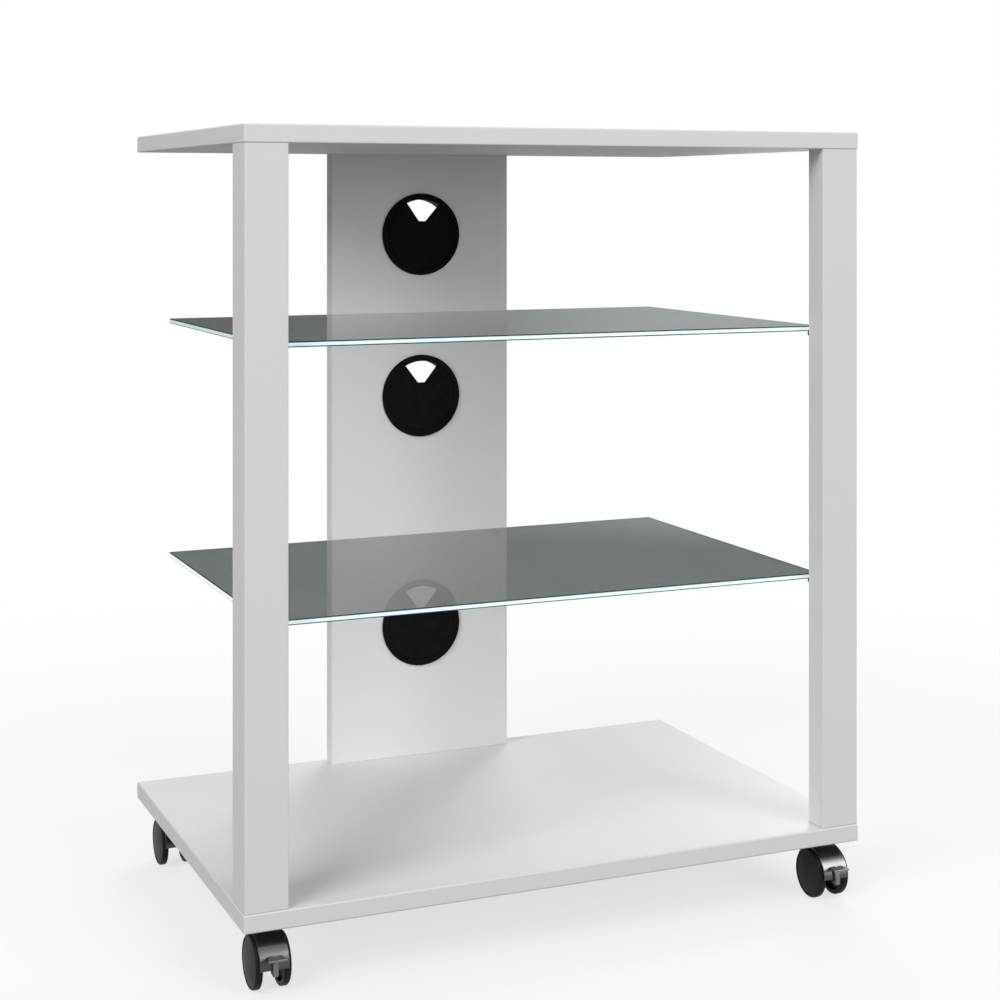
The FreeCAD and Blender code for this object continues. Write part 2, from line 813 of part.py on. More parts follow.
def at_all_casters(shape):
    return Part.makeCompound([at_caster(shape, name) for name in casters])


# Every piece by its name

pieces = {
    "top_board": top_board(),
    "base_board": base_board(),
    "post_left": post(-1),
    "post_right": post(1),
    "rear_panel": rear_panel(),
    "dowels": dowels(),
    "cam_bolts": cam_bolts(),
    "cam_housings": cam_housings(),
    "caster_inserts": at_all_casters(threaded_insert()),
    "caster_stems": at_all_casters(caster_stem()),
}
for shelf in glass_tops:
    pieces["glass_shelf_" + shelf] = glass_shelf(shelf)
    pieces["shelf_pins_" + shelf] = shelf_pins(shelf)
    pieces["pin_sleeves_" + shelf] = pin_sleeves(shelf)
for grommet in grommet_drops:
    pieces["grommet_sleeve_" + grommet] = grommet_sleeve(grommet)
    pieces["grommet_cap_" + grommet] = grommet_cap(grommet)
for corner, (stand_side, stand_end) in casters.items():
    pieces["caster_body_" + corner] = at_caster(caster_body(corner in braked), corner)
    pieces["stem_clip_" + corner] = at_caster(stem_clip(), corner)
    pieces["axle_" + corner] = at_caster(axle(), corner)
    pieces["wheel_outer_" + corner] = at_caster(wheel(stand_side), corner)
    pieces["wheel_inner_" + corner] = at_caster(wheel(-stand_side), corner)
for corner in braked:
    pieces["brake_lever_" + corner] = at_caster(brake_lever(), corner)
    pieces["lever_pin_" + corner] = at_caster(lever_pin(), corner)

os.makedirs("parts", exist_ok=True)
for node, shape in pieces.items():
    shape.exportStep("parts/" + node + ".step")
    print(node, len(shape.Solids), "solid" if len(shape.Solids) == 1 else "solids", shape.isValid())
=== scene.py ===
import json
import math

import bmesh
import bpy
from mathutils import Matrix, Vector

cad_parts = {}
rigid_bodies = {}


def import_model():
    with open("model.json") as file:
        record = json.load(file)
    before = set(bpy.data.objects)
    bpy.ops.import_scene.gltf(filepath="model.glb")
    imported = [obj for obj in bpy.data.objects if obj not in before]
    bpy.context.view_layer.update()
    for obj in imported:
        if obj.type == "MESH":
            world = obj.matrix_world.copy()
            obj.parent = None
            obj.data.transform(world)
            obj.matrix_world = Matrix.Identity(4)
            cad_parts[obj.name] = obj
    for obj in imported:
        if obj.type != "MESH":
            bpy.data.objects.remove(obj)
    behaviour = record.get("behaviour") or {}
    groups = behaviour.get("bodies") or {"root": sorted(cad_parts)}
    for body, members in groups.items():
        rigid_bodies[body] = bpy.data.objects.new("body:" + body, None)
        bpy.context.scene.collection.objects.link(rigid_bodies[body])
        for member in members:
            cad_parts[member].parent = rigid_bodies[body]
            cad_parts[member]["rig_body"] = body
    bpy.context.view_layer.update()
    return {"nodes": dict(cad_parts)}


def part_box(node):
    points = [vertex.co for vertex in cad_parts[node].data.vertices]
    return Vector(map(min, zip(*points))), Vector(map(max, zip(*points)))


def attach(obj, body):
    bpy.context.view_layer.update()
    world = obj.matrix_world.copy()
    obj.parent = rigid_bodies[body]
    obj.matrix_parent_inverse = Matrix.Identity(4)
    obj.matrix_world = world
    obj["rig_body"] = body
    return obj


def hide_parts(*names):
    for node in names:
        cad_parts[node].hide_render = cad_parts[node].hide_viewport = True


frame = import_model()
nodes = frame["nodes"]
scene = bpy.context.scene

# Sizes taken from the stand, in metres
base_low, base_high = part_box("base_board")
board_side = base_high.x
board_front = base_low.y
board_rear = base_high.y
base_top = base_high.z
panel_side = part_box("rear_panel")[1].x

# A distance past every piece, for the sides that have no seam
no_seam = 1.0

# Pieces of the stand that repeat
corners = ["front_left", "front_right", "rear_left", "rear_right"]
braked = corners[:2]
grommets = ["upper", "middle", "lower"]
shelves = ["upper", "lower"]

# Ground edges of the glass. A band stands proud of the plate by more than its thickness, so it stays
# clear of it. Its painted shade lines start and are full at two distances from the plate's mid height
glass_arris = 0.0006
edge_proud = 0.00008
edge_thickness = 2 * edge_proud / 3
edge_corner_round = 0.002
edge_shade_start = 0.0012
edge_shade_full = 0.0017

# Softened arrises of the moulded pieces
grommet_sleeve_round = 0.0003
grommet_cap_round = 0.0002
caster_round = 0.0003
lever_round = 0.0008

# What counts as one point, a flat joint, a sharp arris and a smooth face on the moulded pieces' meshes
weld_gap = 0.00001
flat_angle = math.radians(0.5)
sharp_angle = math.radians(40)
smooth_angle = math.radians(35)

# Glue seams of the edge bands, and the painted shade line where an upright stands on the base
seam_strength = 0.35
foot_shade_strength = 0.5
foot_shade_full = 0.0004
foot_shade_end = 0.0011

# Colours, as linear red, green and blue. The tones of a finish are its darker and its lighter one
board_tones = ((0.775, 0.773, 0.777), (0.8, 0.798, 0.802))
band_tone = (0.788, 0.786, 0.789)
# The dark tone of the glue seams, which also colours the painted shade line at the foot of an upright
seam_and_foot_shade_tone = (0.42, 0.41, 0.4)
nylon_tones = ((0.004, 0.004, 0.005), (0.008, 0.008, 0.009))
lever_tones = ((0.128, 0.128, 0.133), (0.15, 0.15, 0.155))
wheel_tones = ((0.012, 0.012, 0.013), (0.018, 0.018, 0.019))
grommet_tones = ((0.004, 0.004, 0.0045), (0.007, 0.007, 0.0075))
zinc_tones = ((0.5, 0.51, 0.53), (0.66, 0.67, 0.68))
cast_tones = ((0.42, 0.43, 0.44), (0.55, 0.56, 0.57))
pin_tones = ((0.07, 0.07, 0.075), (0.12, 0.12, 0.125))
vinyl_tones = ((0.14, 0.15, 0.15), (0.2, 0.21, 0.21))
beech_tones = ((0.56, 0.36, 0.2), (0.72, 0.52, 0.33))
fleck_tone = (0.3, 0.16, 0.08)
glass_tones = ((0.18, 0.206, 0.2), (0.2, 0.228, 0.221))
# Painted shade on the arrises of the glass plates
arris_shade_tone = (0.03, 0.07, 0.065)
ground_tones = ((0.72, 0.94, 0.92), (0.85, 0.98, 0.97))
# Painted shade lines on the ground edges, and the painted glow of the edge and of its lines, though the edge
# is no lamp
ground_shade_line_tone = (0.03, 0.12, 0.12)
ground_painted_glow = ((0.18, 0.28, 0.27), (0.28, 0.36, 0.35))
ground_line_painted_glow = (0.01, 0.03, 0.03)
passing_tone = (0.95, 0.953, 0.95)
floor_tone = (0.92, 0.92, 0.92)
floor_bounce_tone = (0.22, 0.22, 0.22)
screen_tone = (0.128, 0.139, 0.136)
plain_white = (1, 1, 1)

# Camera, solved from the edges in the photograph
camera_place = (-0.73525, -1.74985, 0.66569)
camera_heading = -23.158
camera_sensor = 36
camera_lens = 69.731
camera_shift = -0.30341

# Studio
sky_strength = 0.3
floor_size = 60
floor_shadow_radius = 0.5
floor_white_radius = 1.5
screen_radius = 3.4
screen_height = 2.0
card_place = (1.5, -1.9, 1.4)
card_heading = 35
card_width = 2.3
card_height = 2.7
lamp_target = Vector((0, 0, 0.35))
lamps = [
    ("front softbox", (3.0, -5.9, 2.1), 3.0, 150),
    ("left softbox", (-4.8, -3.0, 3.9), 3.3, 240),
    ("high front", (0.6, -3.9, 6.0), 3.6, 42),
    ("rear softbox", (3.0, 4.5, 5.0), 3.3, 160),
    ("low rear softbox", (3.9, 4.8, 0.8), 1.5, 95),
]


# Shader building blocks


def add_node(tree, kind, sockets=None, **settings):
    """A shader node with its settings and the values on its sockets."""
    made = tree.nodes.new(kind)
    for name, value in settings.items():
        setattr(made, name, value)
    for name, value in (sockets or {}).items():
        made.inputs[name].default_value = value
    return made


def feed(tree, value, socket):
    """Puts a number on a socket, or links another node's output to it."""
    if isinstance(value, (int, float)):
        socket.default_value = value
    else:
        tree.links.new(value, socket)


def math_node(tree, operation, *values):
    """A Math node's result. Each value is a number or another node's output."""
    made = add_node(tree, "ShaderNodeMath", operation=operation)
    for socket, value in zip(made.inputs, values):
        feed(tree, value, socket)
    return made.outputs[0]


def ramp(tree, value, low, high, to_low=0.0, to_high=1.0):
    """A value carried smoothly from one range to another."""
    ranges = {"From Min": low, "From Max": high, "To Min": to_low, "To Max": to_high}
    made = add_node(tree, "ShaderNodeMapRange", ranges, interpolation_type="SMOOTHSTEP")
    tree.links.new(value, made.inputs["Value"])
    return made.outputs["Result"]


def spread(tree, value, low, high):
    """A value between 0 and 1 carried smoothly to another range."""
    return ramp(tree, value, 0.0, 1.0, low, high)


def opaque(tone):
    """A tone as a socket takes it, with its alpha."""
    return (*tone, 1)


def mixed(tree, factor, first, second):
    """A colour between two others. Each is a tone or another node's output."""
    made = add_node(tree, "ShaderNodeMix", data_type="RGBA")
    mix_factor, colour_a, colour_b = made.inputs[0], made.inputs[6], made.inputs[7]
    tree.links.new(factor, mix_factor)
    for socket, colour in ((colour_a, first), (colour_b, second)):
        if isinstance(colour, tuple):
            socket.default_value = opaque(colour)
        else:
            tree.links.new(colour, socket)
    return made.outputs[2]


def own_axes(tree):
    """The object's own X, Y and Z at each point."""
    split = add_node(tree, "ShaderNodeSeparateXYZ")
    tree.links.new(add_node(tree, "ShaderNodeTexCoord").outputs["Object"], split.inputs[0])
    return split.outputs


def squareness(tree, axis):
    """How squarely a face looks along an axis, either way."""
    split = add_node(tree, "ShaderNodeSeparateXYZ")
    tree.links.new(add_node(tree, "ShaderNodeNewGeometry").outputs["Normal"], split.inputs[0])
    return math_node(tree, "ABSOLUTE", split.outputs[axis])


def noise(tree, scale, detail=2.0, stretch=None):
    """Noise over the object's own coordinates. The scale is in waves per metre."""
    place = add_node(tree, "ShaderNodeTexCoord").outputs["Object"]
    if stretch:
        mapping = add_node(tree, "ShaderNodeMapping", {"Scale": stretch})
        tree.links.new(place, mapping.inputs["Vector"])
        place = mapping.outputs["Vector"]
    made = add_node(tree, "ShaderNodeTexNoise", {"Detail": detail})
    tree.links.new(place, made.inputs["Vector"])
    feed(tree, scale, made.inputs["Scale"])
    return made.outputs["Fac"]


def patches(tree, *settings):
    """Noise with its contrast raised to the full range."""
    return ramp(tree, noise(tree, *settings), 0.3, 0.7)


def blended(tree, factor, first, second):
    """A shader between two others."""
    made = add_node(tree, "ShaderNodeMixShader")
    tree.links.new(factor, made.inputs[0])
    tree.links.new(first.outputs[0], made.inputs[1])
    tree.links.new(second.outputs[0], made.inputs[2])
    return made.outputs[0]


# Effects that several finishes share


def new_group(name, inputs, outputs):
    """An empty shader node group with its named numbers in and out."""
    group = bpy.data.node_groups.new(name, "ShaderNodeTree")
    for label, value in inputs.items():
        socket = group.interface.new_socket(label, in_out="INPUT", socket_type="NodeSocketFloat")
        socket.default_value = value
    for label in outputs:
        group.interface.new_socket(label, in_out="OUTPUT", socket_type="NodeSocketFloat")
    return group, group.nodes.new("NodeGroupInput"), group.nodes.new("NodeGroupOutput")


def pearl_group():
    """The fine pearl of a pressed melamine face: a height, and a broad and a fine unevenness."""
    group, into, out = new_group("melamine pearl", {"Scale": 900.0}, ["Height", "Broad", "Fine"])
    group.links.new(noise(group, into.outputs["Scale"], 3.0), out.inputs["Height"])
    group.links.new(patches(group, 5.0, 2.0), out.inputs["Broad"])
    group.links.new(patches(group, 260.0, 2.0), out.inputs["Fine"])
    return group


def band_group():
    """Edge bands: the glue seam, a band's thickness in from the edges, where the face is flat."""
    names = {"Side": 0.3, "Front": -0.2, "Rear": 0.2, "Thickness": 0.0008, "Flat": 1.0}
    group, into, out = new_group("edge band", names, ["Seam"])
    place = own_axes(group)
    from_side = math_node(group, "SUBTRACT", into.outputs["Side"], math_node(group, "ABSOLUTE", place["X"]))
    from_front = math_node(group, "SUBTRACT", place["Y"], into.outputs["Front"])
    from_rear = math_node(group, "SUBTRACT", into.outputs["Rear"], place["Y"])
    inset = math_node(group, "MINIMUM", from_side, math_node(group, "MINIMUM", from_front, from_rear))
    off = math_node(group, "ABSOLUTE", math_node(group, "SUBTRACT", inset, into.outputs["Thickness"]))
    line = ramp(group, off, 0.0001, 0.0004, 1.0, 0.0)
    group.links.new(math_node(group, "MULTIPLY", line, into.outputs["Flat"]), out.inputs["Seam"])
    return group


def moulding_group():
    """The skin of moulded plastic: a fine spark-eroded height and a broad change of gloss."""
    group, into, out = new_group("moulded skin", {"Scale": 2500.0}, ["Height", "Gloss"])
    group.links.new(noise(group, into.outputs["Scale"], 2.0), out.inputs["Height"])
    group.links.new(patches(group, 90.0, 3.0), out.inputs["Gloss"])
    return group


def plating_group():
    """Drawn and plated metal: fine lines across the Z axis and a cloudy tone."""
    group, into, out = new_group("plated metal", {"Scale": 60.0}, ["Height", "Cloud"])
    group.links.new(noise(group, into.outputs["Scale"], 4.0, (1, 1, 30)), out.inputs["Height"])
    group.links.new(patches(group, 140.0, 3.0), out.inputs["Cloud"])
    return group


pearl = pearl_group()
band = band_group()
moulding = moulding_group()
plating = plating_group()


def use_group(tree, group, **values):
    """A shared effect in a material, with its values on its sockets."""
    made = tree.nodes.new("ShaderNodeGroup")
    made.node_tree = group
    for name, value in values.items():
        made.inputs[name].default_value = value
    return made


# Finishes


def new_material(name, sockets):
    """A material with a Principled shader. Gives the material, its tree and the shader."""
    material = bpy.data.materials.new(name)
    material.use_nodes = True
    tree = material.node_tree
    shader = tree.nodes["Principled BSDF"]
    for label, value in sockets.items():
        shader.inputs[label].default_value = value
    return material, tree, shader


def set_skin(tree, shader, colour, roughness, height, strength, distance=0.0001):
    """Gives a shader its colour and roughness, and a bump from a height."""
    tree.links.new(colour, shader.inputs["Base Color"])
    tree.links.new(roughness, shader.inputs["Roughness"])
    bump = add_node(tree, "ShaderNodeBump", {"Strength": strength, "Distance": distance})
    tree.links.new(height, bump.inputs["Height"])
    tree.links.new(bump.outputs["Normal"], shader.inputs["Normal"])


def laminate(name, side, front, rear, seam_on, foot=None):
    """White melamine with edge bands. seam_on names the axis that its seams' faces look along, and foot
    is the height of an end that stands on another board, with a painted shade line there."""
    material, tree, shader = new_material(name, {"IOR": 1.5, "Specular IOR Level": 0.08})
    skin = use_group(tree, pearl)
    facing = ramp(tree, squareness(tree, seam_on), 0.6, 0.9)
    edge = use_group(tree, band, Side=side, Front=front, Rear=rear)
    tree.links.new(facing, edge.inputs["Flat"])
    face = mixed(tree, skin.outputs["Broad"], *board_tones)
    banded = mixed(tree, facing, band_tone, face)
    seam_and_foot_shade = math_node(tree, "MULTIPLY", edge.outputs["Seam"], seam_strength)
    # Painted shade: a dark line just above the foot, where the upright meets the base board
    if foot is not None:
        ends = (foot + foot_shade_full, foot + foot_shade_end)
        foot_shade = ramp(tree, own_axes(tree)["Z"], *ends, foot_shade_strength, 0.0)
        seam_and_foot_shade = math_node(tree, "MAXIMUM", seam_and_foot_shade, foot_shade)
    colour = mixed(tree, seam_and_foot_shade, banded, seam_and_foot_shade_tone)
    roughness = spread(tree, skin.outputs["Fine"], 0.48, 0.58)
    set_skin(tree, shader, colour, roughness, skin.outputs["Height"], 0.12, 0.0002)
    return material


def plastic(name, tones, roughness, coat, shine, grain, depth):
    """Moulded plastic between two tones. The grain is in waves per metre, its depth the bump's strength."""
    sockets = {"IOR": 1.5, "Specular IOR Level": shine, "Coat Weight": coat, "Coat Roughness": 0.22}
    material, tree, shader = new_material(name, sockets)
    skin = use_group(tree, moulding, Scale=grain)
    colour = mixed(tree, skin.outputs["Gloss"], *tones)
    sheen = spread(tree, skin.outputs["Gloss"], roughness, roughness + 0.06)
    set_skin(tree, shader, colour, sheen, skin.outputs["Height"], depth)
    return material


def metal(name, tones, roughness):
    """Plated or cast metal between two tones."""
    material, tree, shader = new_material(name, {"Metallic": 1.0})
    skin = use_group(tree, plating)
    colour = mixed(tree, skin.outputs["Cloud"], *tones)
    sheen = ramp(tree, skin.outputs["Height"], 0.3, 0.7, roughness, roughness + 0.12)
    set_skin(tree, shader, colour, sheen, skin.outputs["Height"], 0.08)
    return material


def beech():
    """Raw beech with its long grain and short dark flecks."""
    material, tree, shader = new_material("beech", {"IOR": 1.45})
    grain = patches(tree, 700.0, 3.0, (1, 1, 0.06))
    fleck = ramp(tree, noise(tree, 1400.0, 1.0, (1, 1, 0.15)), 0.62, 0.72)
    wood = mixed(tree, grain, *beech_tones)
    colour = mixed(tree, math_node(tree, "MULTIPLY", fleck, 0.6), wood, fleck_tone)
    set_skin(tree, shader, colour, spread(tree, grain, 0.75, 0.6), grain, 0.3, 0.0002)
    return material


def float_glass():
    """Dark grey-green plate with painted shade on its arrises, which lets the lamps' light through to what
    is below it.
    """
    material, tree, shader = new_material("float glass", {"IOR": 1.5, "Transmission Weight": 1.0})
    smear = ramp(tree, noise(tree, 7.0, 3.0), 0.35, 0.75)
    # Painted shade: the plate's arrises and sides are tinted near black
    arris_shade = ramp(tree, squareness(tree, "Z"), 0.8, 0.95, 1.0, 0.0)
    plate = mixed(tree, smear, *glass_tones)
    colour = mixed(tree, arris_shade, plate, arris_shade_tone)
    roughness = spread(tree, smear, 0.0, 0.012)
    set_skin(tree, shader, colour, roughness, noise(tree, 3.0, 1.0), 0.02, 0.001)
    path = add_node(tree, "ShaderNodeLightPath")
    lighting = math_node(tree, "MAXIMUM", path.outputs["Is Shadow Ray"], path.outputs["Is Diffuse Ray"])
    passing = add_node(tree, "ShaderNodeBsdfTransparent", {"Color": opaque(passing_tone)})
    surface = blended(tree, lighting, shader, passing)
    tree.links.new(surface, tree.nodes["Material Output"].inputs["Surface"])
    return material


def ground_edge(name, middle):
    """A ground glass edge: milky, with a painted glow, between two painted shade lines. middle is the
    plate's mid height.
    """
    # The emission is a painted glow: the edge is no lamp
    sockets = {"IOR": 1.5, "Coat Weight": 0.5, "Coat Roughness": 0.1, "Emission Strength": 1.0}
    material, tree, shader = new_material(name, sockets)
    off = math_node(tree, "ABSOLUTE", math_node(tree, "SUBTRACT", own_axes(tree)["Z"], middle))
    # Painted shade: two dark lines along the edge, near its arrises
    line = ramp(tree, off, edge_shade_start, edge_shade_full)
    scratch = patches(tree, 500.0, 3.0, (0.2, 0.2, 3))
    glow = mixed(tree, line, mixed(tree, scratch, *ground_painted_glow), ground_line_painted_glow)
    tree.links.new(glow, shader.inputs["Emission Color"])
    colour = mixed(tree, line, mixed(tree, scratch, *ground_tones), ground_shade_line_tone)
    set_skin(tree, shader, colour, spread(tree, scratch, 0.2, 0.34), scratch, 0.15)
    return material


def clear_vinyl():
    """The see-through sleeves of the shelf pins."""
    material, tree, shader = new_material("clear vinyl", {"IOR": 1.52, "Transmission Weight": 0.9})
    skin = use_group(tree, moulding, Scale=1800.0)
    colour = mixed(tree, skin.outputs["Gloss"], *vinyl_tones)
    roughness = spread(tree, skin.outputs["Gloss"], 0.08, 0.16)
    set_skin(tree, shader, colour, roughness, skin.outputs["Height"], 0.05)
    return material


def dress(node, finish):
    """Gives a CAD node its finish."""
    mesh = nodes[node].data
    mesh.materials.clear()
    mesh.materials.append(finish)


board_finish = laminate("laminated board", board_side, board_front, board_rear, "Z")
panel_finish = laminate("laminated panel", panel_side, -no_seam, no_seam, "Y", base_top)
post_finish = laminate("laminated post", board_side, -no_seam, no_seam, "Z", base_top)
glass_finish = float_glass()
nylon_finish = plastic(
    "glossy black nylon", nylon_tones, roughness=0.3, coat=1.0, shine=0.35, grain=3000.0, depth=0.04
)
lever_finish = plastic(
    "satin grey nylon", lever_tones, roughness=0.24, coat=0.8, shine=0.5, grain=2600.0, depth=0.06
)
wheel_finish = plastic(
    "satin black wheel", wheel_tones, roughness=0.42, coat=0.0, shine=0.1, grain=2600.0, depth=0.1
)
grommet_finish = plastic(
    "satin black grommet", grommet_tones, roughness=0.6, coat=0.0, shine=0.06, grain=2200.0, depth=0.2
)
zinc_finish = metal("zinc plating", zinc_tones, 0.24)
cast_finish = metal("die cast zinc", cast_tones, 0.38)
pin_finish = metal("burnished steel", pin_tones, 0.3)
vinyl_finish = clear_vinyl()
beech_finish = beech()

for name in ("top_board", "base_board"):
    dress(name, board_finish)
for name in ("post_left", "post_right"):
    dress(name, post_finish)
dress("rear_panel", panel_finish)
dress("dowels", beech_finish)
dress("cam_housings", cast_finish)
for name in ("cam_bolts", "caster_stems", "caster_inserts"):
    dress(name, zinc_finish)
for shelf in shelves:
    dress("glass_shelf_" + shelf, glass_finish)
    dress("shelf_pins_" + shelf, pin_finish)
    dress("pin_sleeves_" + shelf, vinyl_finish)
for grommet in grommets:
    dress("grommet_sleeve_" + grommet, grommet_finish)
    dress("grommet_cap_" + grommet, grommet_finish)
for corner in corners:
    dress("caster_body_" + corner, nylon_finish)
    dress("stem_clip_" + corner, zinc_finish)
    dress("axle_" + corner, zinc_finish)
    dress("wheel_outer_" + corner, wheel_finish)
    dress("wheel_inner_" + corner, wheel_finish)
for corner in braked:
    dress("brake_lever_" + corner, lever_finish)
    dress("lever_pin_" + corner, zinc_finish)


# Modelled pieces


def free_selection():
    """Leaves nothing selected, so that the next operator acts on the next piece alone."""
    if bpy.context.mode != "OBJECT":
        bpy.ops.object.mode_set(mode="OBJECT")
    bpy.ops.object.select_all(action="DESELECT")


def only(piece):
    """Makes a piece the active and only selected one."""
    free_selection()
    piece.select_set(True)
    bpy.context.view_layer.objects.active = piece


def select_where(test, kind):
    """In edit mode, selects the faces or edges that pass a test, and nothing else."""
    mesh = bmesh.from_edit_mesh(bpy.context.object.data)
    bpy.ops.mesh.select_mode(type=kind)
    bpy.ops.mesh.select_all(action="DESELECT")
    for part in mesh.faces if kind == "FACE" else mesh.edges:
        part.select = test(part)
    mesh.select_flush_mode()
    bmesh.update_edit_mesh(bpy.context.object.data)


def upright(edge):
    """True for a box's upright edge."""
    return abs(edge.verts[0].co.z - edge.verts[1].co.z) > 0.001


def level(face):
    """True for a face that looks up or down."""
    return abs(face.normal.z) > 0.9


def apply_modifier(kind, **settings):
    """Adds a modifier to the active piece and applies it."""
    piece = bpy.context.object
    made = piece.modifiers.new(kind.lower(), kind)
    for name, value in settings.items():
        setattr(made, name, value)
    bpy.ops.object.modifier_apply(modifier=made.name)


def finish_piece(piece, name, body, finish):
    """Names a piece, settles its place in its mesh, and gives it its finish, body and slot."""
    only(piece)
    bpy.ops.object.transform_apply(location=True, rotation=True, scale=True)
    piece.name = name
    piece.data.name = name
    piece.data.materials.clear()
    piece.data.materials.append(finish)
    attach(piece, body)


def loose_copy(node):
    """A copy of a CAD node's mesh as a piece of its own, with none of the node's marks."""
    piece = nodes[node].copy()
    piece.data = nodes[node].data.copy()
    piece.parent = None
    for key in list(piece.keys()):
        del piece[key]
    scene.collection.objects.link(piece)
    return piece


def softened(node, width, finish):
    """Stands for a CAD node with the same form, its sharp arrises softened as a mould leaves them."""
    piece = loose_copy(node)
    only(piece)
    bpy.ops.object.mode_set(mode="EDIT")
    bpy.ops.mesh.select_all(action="SELECT")
    bpy.ops.mesh.remove_doubles(threshold=weld_gap)
    bpy.ops.mesh.dissolve_limited(angle_limit=flat_angle)
    bpy.ops.object.mode_set(mode="OBJECT")
    if piece.data.has_custom_normals:
        bpy.ops.mesh.customdata_custom_splitnormals_clear()
    limits = {"limit_method": "ANGLE", "angle_limit": sharp_angle, "use_clamp_overlap": True}
    apply_modifier("BEVEL", width=width, segments=2, **limits)
    bpy.ops.object.shade_smooth_by_angle(angle=smooth_angle)
    apply_modifier("WEIGHTED_NORMAL", keep_sharp=True, weight=90)
    finish_piece(piece, node + "_moulded", nodes[node]["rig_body"], finish)
    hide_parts(node)


def glass_edge(shelf):
    """The ground band round a shelf, between the glass's upper and lower arrises."""
    low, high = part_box("glass_shelf_" + shelf)
    outer = high - low + 2 * Vector((edge_proud, edge_proud, -glass_arris))
    free_selection()
    bpy.ops.mesh.primitive_cube_add(size=1, location=(low + high) / 2)
    piece = bpy.context.object
    piece.scale = outer
    bpy.ops.object.transform_apply(location=True, rotation=True, scale=True)
    bpy.ops.object.mode_set(mode="EDIT")
    select_where(upright, "EDGE")
    bpy.ops.mesh.bevel(offset=edge_corner_round, segments=6, affect="EDGES")
    select_where(level, "FACE")
    bpy.ops.mesh.delete(type="FACE")
    bpy.ops.object.mode_set(mode="OBJECT")
    apply_modifier("SOLIDIFY", thickness=edge_thickness, offset=-1)
    edge_finish = ground_edge("ground edge " + shelf, (low.z + high.z) / 2)
    finish_piece(piece, "glass_edge_" + shelf, "root", edge_finish)


for shelf in shelves:
    glass_edge(shelf)
for grommet in grommets:
    softened("grommet_sleeve_" + grommet, grommet_sleeve_round, grommet_finish)
    softened("grommet_cap_" + grommet, grommet_cap_round, grommet_finish)
for corner in corners:
    softened("caster_body_" + corner, caster_round, nylon_finish)
for corner in braked:
    softened("brake_lever_" + corner, lever_round, lever_finish)


# Finishes of the studio


def bare_material(name):
    """A material with nothing but its output. Gives the material, its tree and the output's socket."""
    material = bpy.data.materials.new(name)
    material.use_nodes = True
    tree = material.node_tree
    tree.nodes.clear()
    return material, tree, add_node(tree, "ShaderNodeOutputMaterial").inputs["Surface"]


def seen_rays(tree):
    """One for rays that show the background: from the camera, in a reflection or through glass."""
    path = add_node(tree, "ShaderNodeLightPath")
    shown = math_node(tree, "MAXIMUM", path.outputs["Is Camera Ray"], path.outputs["Is Glossy Ray"])
    return math_node(tree, "MAXIMUM", shown, path.outputs["Is Transmission Ray"])


def floor_finish():
    """Pale floor that keeps the stand's shadow near it and is plain white further away."""
    material, tree, surface = bare_material("pale floor")
    length = add_node(tree, "ShaderNodeVectorMath", operation="LENGTH")
    tree.links.new(add_node(tree, "ShaderNodeTexCoord").outputs["Object"], length.inputs[0])
    far = ramp(tree, length.outputs["Value"], floor_shadow_radius, floor_white_radius, 0.7, 1.0)
    bounce = add_node(tree, "ShaderNodeLightPath").outputs["Is Diffuse Ray"]
    matt = add_node(tree, "ShaderNodeBsdfDiffuse")
    tree.links.new(mixed(tree, bounce, floor_tone, floor_bounce_tone), matt.inputs["Color"])
    white = add_node(tree, "ShaderNodeEmission", {"Color": opaque(plain_white), "Strength": 1.0})
    factor = math_node(tree, "MULTIPLY", far, seen_rays(tree))
    tree.links.new(blended(tree, factor, matt, white), surface)
    return material


def screen_finish():
    """Grey, with a light patch low down at the right of the back, and see-through towards the top."""
    material, tree, surface = bare_material("grey screen")
    place = own_axes(tree)
    grey = add_node(tree, "ShaderNodeEmission", {"Color": opaque(screen_tone)})
    broad = ramp(tree, place["X"], 0.2, 2.0, 0.92, 1.05)
    right = ramp(tree, place["X"], 0.8, 1.9)
    rear = ramp(tree, place["Y"], 0.5, 1.5)
    low = ramp(tree, place["Z"], 0.78, 0.92, 2.3, 0.0)
    patch = math_node(tree, "MULTIPLY", math_node(tree, "MULTIPLY", right, rear), low)
    tree.links.new(math_node(tree, "ADD", broad, patch), grey.inputs["Strength"])
    clear = add_node(tree, "ShaderNodeBsdfTransparent")
    tree.links.new(blended(tree, ramp(tree, place["Z"], 1.3, 2.0), grey, clear), surface)
    return material


def card_finish():
    """See-through, with a glow that is brightest at mid height and fades up, down and to the left."""
    material, tree, surface = bare_material("bright card")
    place = own_axes(tree)
    low = ramp(tree, place["Z"], 0.2, 1.2, 0.2, 1.0)
    high = ramp(tree, place["Z"], 1.4, 2.7, 12.5, 0.0)
    right = ramp(tree, place["X"], 0.4, 1.7, 0.7, 1.0)
    glow = add_node(tree, "ShaderNodeEmission", {"Color": opaque(plain_white)})
    strength = math_node(tree, "MULTIPLY", math_node(tree, "MULTIPLY", low, high), right)
    tree.links.new(strength, glow.inputs["Strength"])
    both = add_node(tree, "ShaderNodeAddShader")
    tree.links.new(glow.outputs[0], both.inputs[0])
    tree.links.new(add_node(tree, "ShaderNodeBsdfTransparent").outputs[0], both.inputs[1])
    tree.links.new(both.outputs[0], surface)
    return material


# Floor, background, lamps and camera


def studio_floor():
    """The floor that the casters stand on."""
    free_selection()
    bpy.ops.mesh.primitive_plane_add(size=floor_size, location=(0, 0, 0))
    floor = bpy.context.object
    floor.name = "studio_floor"
    floor.data.materials.append(floor_finish())


def reflection_only(helper):
    """Hides a helper from everything but reflections."""
    helper.visible_camera = False
    helper.visible_diffuse = False
    helper.visible_transmission = False
    helper.visible_shadow = False


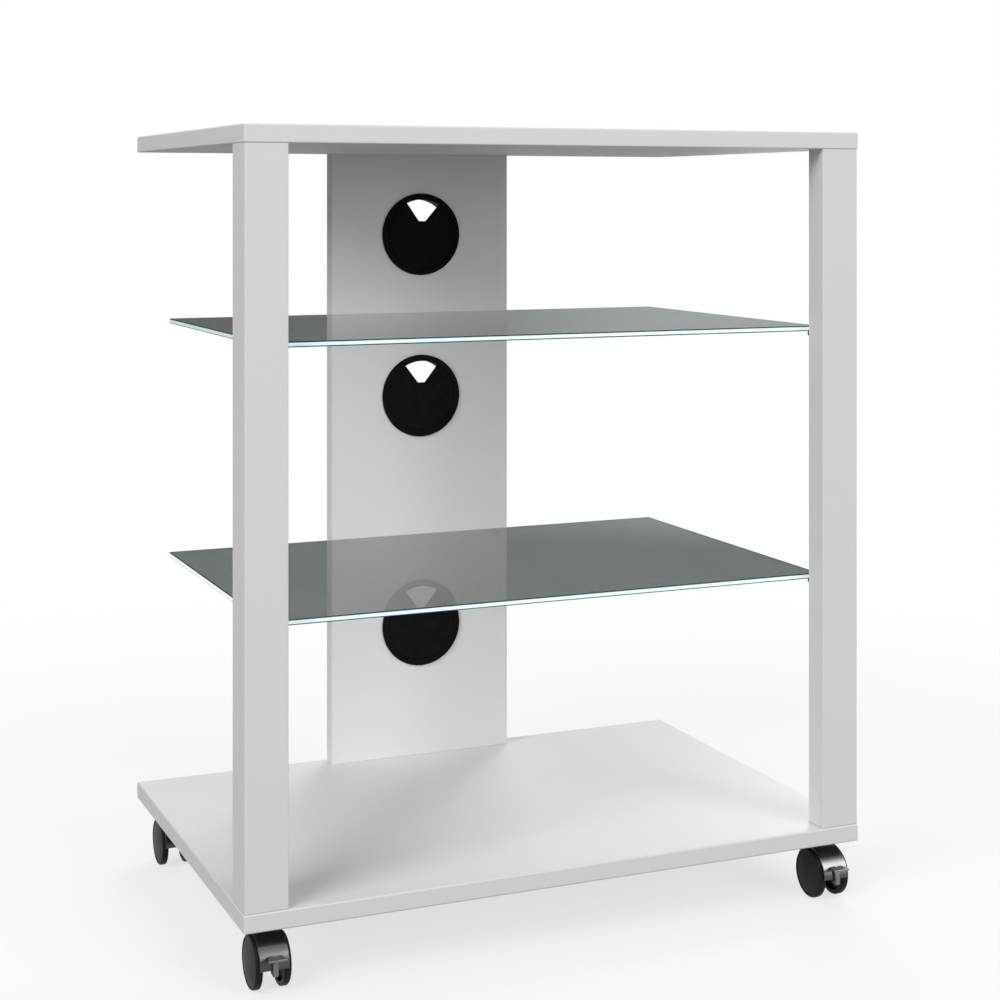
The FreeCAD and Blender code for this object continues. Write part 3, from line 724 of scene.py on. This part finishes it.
def grey_screen():
    """A low grey screen round the studio, which shows only as a reflection in the glass and the gloss."""
    free_selection()
    size = {"radius": screen_radius, "depth": screen_height, "location": (0, 0, screen_height / 2)}
    bpy.ops.mesh.primitive_cylinder_add(vertices=96, end_fill_type="NOTHING", **size)
    screen = bpy.context.object
    bpy.ops.object.transform_apply(location=True, rotation=False, scale=False)
    screen.name = "grey_screen"
    screen.data.materials.append(screen_finish())
    reflection_only(screen)


def lit_set(name, pieces, state):
    """The pieces that a light leaves out, or the only ones that it lights."""
    lit = bpy.data.collections.new(name)
    for piece in pieces:
        lit.objects.link(piece)
    for entry in lit.collection_objects:
        entry.light_linking.link_state = state
    return lit


def bright_card():
    """A tall bright card at the right of the camera, which shows only as a highlight on the glossy nylon."""
    free_selection()
    turn = (math.radians(90), 0, math.radians(card_heading))
    bpy.ops.mesh.primitive_plane_add(size=1, location=card_place, rotation=turn)
    card = bpy.context.object
    card.scale = (card_width, card_height, 1)
    bpy.ops.object.transform_apply(location=True, rotation=True, scale=True)
    card.name = "bright_card"
    card.data.materials.append(card_finish())
    reflection_only(card)
    hoods = ["caster_body_" + corner for corner in corners]
    levers = ["brake_lever_" + corner for corner in braked]
    glossy = [bpy.data.objects[piece + "_moulded"] for piece in hoods + levers]
    card.light_linking.receiver_collection = lit_set("glossy nylon", glossy, "INCLUDE")


def white_world():
    """White where it shows, and a soft grey sky for everything that it lights."""
    world = bpy.data.worlds.new("studio")
    world.use_nodes = True
    scene.world = world
    tree = world.node_tree
    tree.nodes.clear()
    soft = add_node(tree, "ShaderNodeBackground", {"Color": opaque(plain_white), "Strength": sky_strength})
    white = add_node(tree, "ShaderNodeBackground", {"Color": opaque(plain_white), "Strength": 1.0})
    out = add_node(tree, "ShaderNodeOutputWorld")
    tree.links.new(blended(tree, seen_rays(tree), soft, white), out.inputs["Surface"])


def light_studio():
    """Soft square lamps that point at the stand and leave no glare on the glass."""
    plates = [nodes["glass_shelf_" + shelf] for shelf in shelves]
    no_glare = lit_set("no glare", plates, "EXCLUDE")
    for name, place, size, power in lamps:
        light = bpy.data.lights.new(name, "AREA")
        light.shape = "SQUARE"
        light.size = size
        light.energy = power
        holder = bpy.data.objects.new(name, light)
        scene.collection.objects.link(holder)
        holder.location = place
        holder.rotation_euler = (lamp_target - Vector(place)).to_track_quat("-Z", "Y").to_euler()
        holder.light_linking.receiver_collection = no_glare


def place_camera():
    """A level camera at the photograph's place, with its view shifted down."""
    camera = bpy.data.cameras.new("camera")
    camera.sensor_width = camera_sensor
    camera.lens = camera_lens
    camera.shift_y = camera_shift
    holder = bpy.data.objects.new("camera", camera)
    scene.collection.objects.link(holder)
    holder.location = camera_place
    holder.rotation_euler = (math.radians(90), 0, math.radians(camera_heading))
    scene.camera = holder


studio_floor()
grey_screen()
bright_card()
white_world()
light_studio()
place_camera()

scene.view_settings.view_transform = "Standard"
